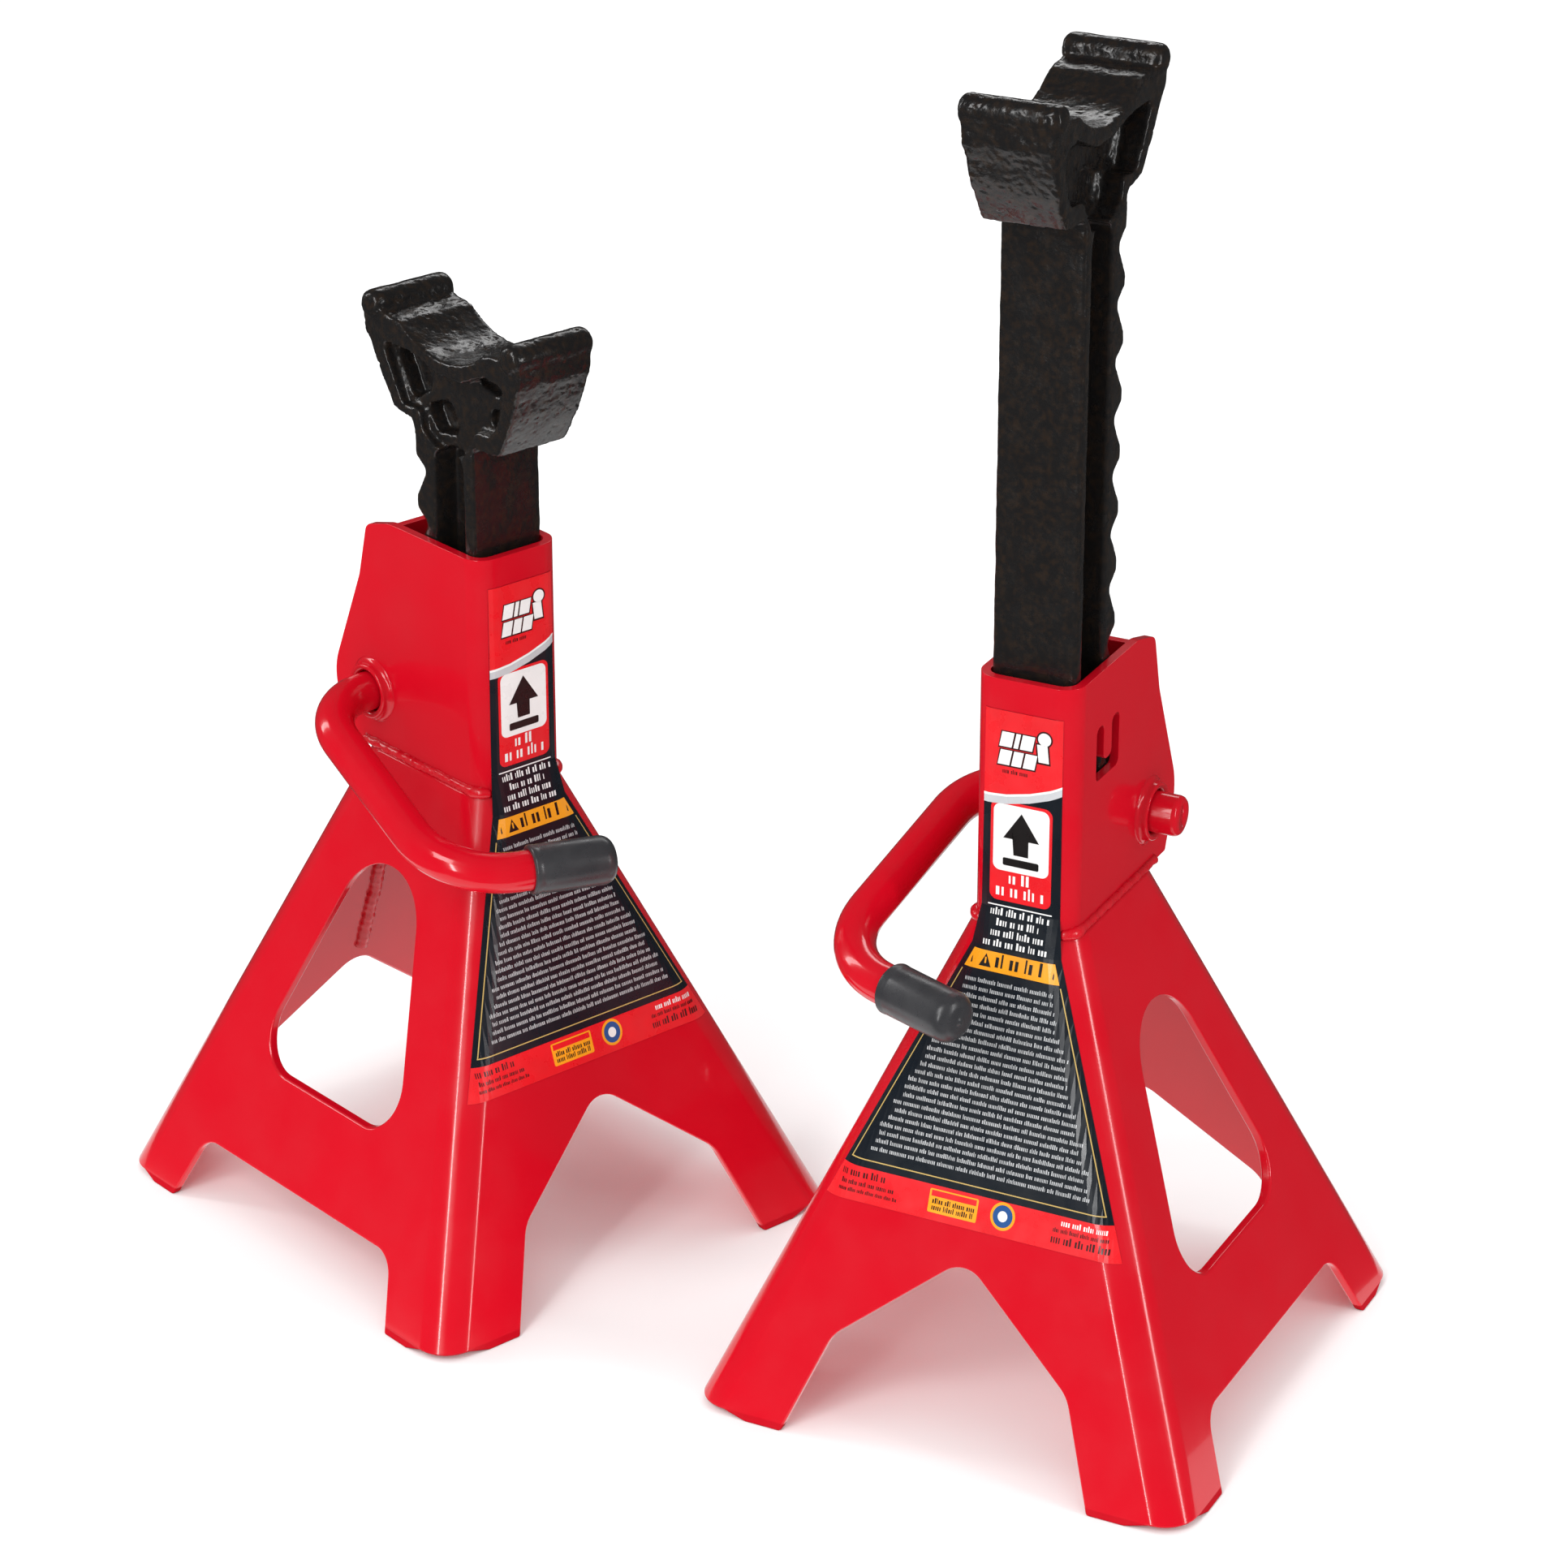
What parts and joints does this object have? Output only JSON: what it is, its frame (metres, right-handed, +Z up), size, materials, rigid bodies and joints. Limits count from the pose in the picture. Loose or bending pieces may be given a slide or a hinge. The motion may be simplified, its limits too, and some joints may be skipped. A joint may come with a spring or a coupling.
{
  "type": "axle jack stands",
  "caption": "Pair of ratcheting axle jack stands with pyramid bases, toothed bars with cradle saddles and bent release levers, one lowered and one raised.",
  "frame": {"origin": "on the floor, under the centre of the pair's bounding box", "axes": "+Z up; the pair is seen from -Y, with the lowered stand on the -X side and the raised one on the +X side; each stand is turned about Z"},
  "size_m": [0.3978, 0.3169, 0.4018],
  "materials": {
    "left_base_left_half": "glossy enamel",
    "left_base_right_half": "glossy enamel",
    "left_column": "glossy enamel",
    "left_back_plate": "glossy enamel",
    "left_weld_bead_left": "glossy enamel",
    "left_weld_bead_right": "glossy enamel",
    "left_decal": "printed film",
    "left_ratchet_bar": "glossy black enamel over a rough casting",
    "left_pawl": "plain steel",
    "left_lever": "glossy enamel",
    "left_lever_grip": "satin",
    "right_base_left_half": "glossy enamel",
    "right_base_right_half": "glossy enamel",
    "right_column": "glossy enamel",
    "right_back_plate": "glossy enamel",
    "right_weld_bead_left": "glossy enamel",
    "right_weld_bead_right": "glossy enamel",
    "right_decal": "printed film",
    "right_ratchet_bar": "glossy black enamel over a rough casting",
    "right_pawl": "plain steel",
    "right_lever": "glossy enamel",
    "right_lever_grip": "satin"
  },
  "bodies": {
    "left_frame": {"left_base_left_half": "left_base_left_half", "left_base_right_half": "left_base_right_half", "left_column": "left_column", "left_back_plate": "left_back_plate", "left_weld_bead_left": "left_weld_bead_left", "left_weld_bead_right": "left_weld_bead_right", "left_decal": "left_decal"},
    "left_bar": {"left_ratchet_bar": "left_ratchet_bar"},
    "left_release": {"left_pawl": "left_pawl", "left_lever": "left_lever", "left_lever_grip": "left_lever_grip"},
    "right_frame": {"right_base_left_half": "right_base_left_half", "right_base_right_half": "right_base_right_half", "right_column": "right_column", "right_back_plate": "right_back_plate", "right_weld_bead_left": "right_weld_bead_left", "right_weld_bead_right": "right_weld_bead_right", "right_decal": "right_decal"},
    "right_bar": {"right_ratchet_bar": "right_ratchet_bar"},
    "right_release": {"right_pawl": "right_pawl", "right_lever": "right_lever", "right_lever_grip": "right_lever_grip"}
  },
  "joints": [
    {"name": "left_bar_slide", "type": "slide", "parent": "left_frame", "child": "left_bar", "axis": [0, 0, 1], "range_m": [0, 0.10158]},
    {"name": "left_lever_hinge", "type": "hinge", "parent": "left_frame", "child": "left_release", "pos_m": [-0.10405, 0.06549, 0.17], "axis": [-0.7559, -0.6547, 0], "range_deg": [0, 50]},
    {"name": "right_stand_spacing", "type": "slide", "parent": "left_frame", "child": "right_frame", "axis": [1, 0, 0], "range_m": [0, 0.15]},
    {"name": "right_bar_slide", "type": "slide", "parent": "right_frame", "child": "right_bar", "axis": [0, 0, 1], "range_m": [-0.10158, 0]},
    {"name": "right_lever_hinge", "type": "hinge", "parent": "right_frame", "child": "right_release", "pos_m": [0.10471, -0.02796, 0.17], "axis": [-0.8902, 0.4555, 0], "range_deg": [0, 50]}
  ]
}
